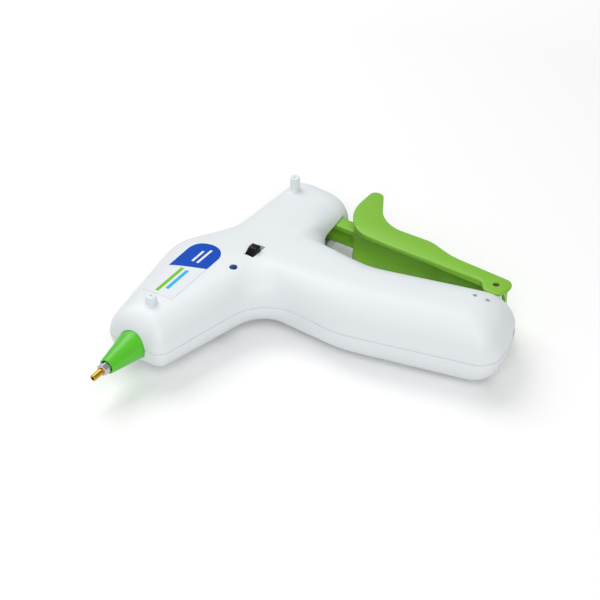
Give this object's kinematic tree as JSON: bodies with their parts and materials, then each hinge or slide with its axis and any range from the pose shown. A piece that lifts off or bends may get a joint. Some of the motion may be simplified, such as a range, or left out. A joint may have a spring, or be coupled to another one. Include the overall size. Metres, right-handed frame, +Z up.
{
  "type": "hot glue applicator",
  "caption": "Cordless hot glue applicator: two-part pistol housing with side pegs, a squeeze lever behind the handle that feeds the stick, a tapered nozzle and a slide switch",
  "frame": {"origin": "on the surface that the part lies on, below the centre of its outline", "axes": "+X is the way the nozzle points, +Y runs from the barrel to the handle's end, +Z is up, out of the left side"},
  "size_m": [0.1444, 0.1366, 0.0301],
  "materials": {
    "white_housing": "satin moulded ABS",
    "green_lever": "satin moulded ABS",
    "green_cover": "heat-resistant moulded cover",
    "steel": "machined steel",
    "dark_steel": "blackened steel",
    "brass": "turned brass",
    "cast_aluminium": "die-cast aluminium",
    "black_plastic": "fine-grained ABS",
    "grey_plastic": "moulded nylon",
    "orange_nylon": "moulded nylon",
    "silicone": "silicone rubber",
    "heater_ceramic": "sintered alumina",
    "fuse_body": "sintered body",
    "board_green": "glass-fibre board",
    "cell_wrap": "shrink wrap over a steel can",
    "lamp_blue": "tinted epoxy",
    "light_pipe": "clear acrylic",
    "label_film": "printed vinyl film",
    "wire_red": "silicone-covered wire"
  },
  "bodies": {
    "housing": {"left_shell": "white_housing", "right_shell": "white_housing", "trigger_pin": "dark_steel", "nozzle_cover": "green_cover", "nozzle_collar": "steel", "nozzle_tip": "brass", "melt_chamber": "cast_aluminium", "heater_element": "heater_ceramic", "thermal_fuse": "fuse_body", "chamber_mounts": "silicone", "inlet_sleeve": "silicone", "return_spring": "steel", "stick_guide": "white_housing", "switch_body": "grey_plastic", "switch_board": "board_green", "indicator_led": "lamp_blue", "control_board": "board_green", "charge_port": "steel", "charge_lights": "light_pipe", "battery_cell": "cell_wrap", "battery_tabs": "steel", "label": "label_film", "housing_screws": "dark_steel", "power_leads": "wire_red"},
    "trigger": {"trigger": "green_lever"},
    "carriage": {"feed_carriage": "orange_nylon", "gripper_pin": "steel"},
    "jaw": {"gripper_jaw": "steel"},
    "knob": {"switch_knob": "black_plastic"}
  },
  "joints": [
    {"name": "trigger_squeeze", "type": "hinge", "parent": "housing", "child": "trigger", "pos_m": [-0.04484, 0.05118, 0.015], "axis": [0, 0, 1], "range_deg": [0, 10], "stiffness_Nm_per_rad": 0.8, "springref_deg": -5.73},
    {"name": "carriage_feed", "type": "slide", "parent": "housing", "child": "carriage", "axis": [1, 0, 0], "range_m": [0, 0.0155], "deforming": ["return_spring"]},
    {"name": "jaw_grip", "type": "hinge", "parent": "carriage", "child": "jaw", "pos_m": [-0.0361, -0.03733, 0.015], "axis": [0, 0, 1], "range_deg": [0, 5]},
    {"name": "switch_slide", "type": "slide", "parent": "housing", "child": "knob", "axis": [-1, 0, 0], "range_m": [0, 0.0025]}
  ],
  "couplings": [
    {"joint": "carriage_feed", "follows": "trigger_squeeze", "m_per_rad": 0.088308},
    {"joint": "jaw_grip", "follows": "trigger_squeeze", "ratio": 0.5}
  ]
}
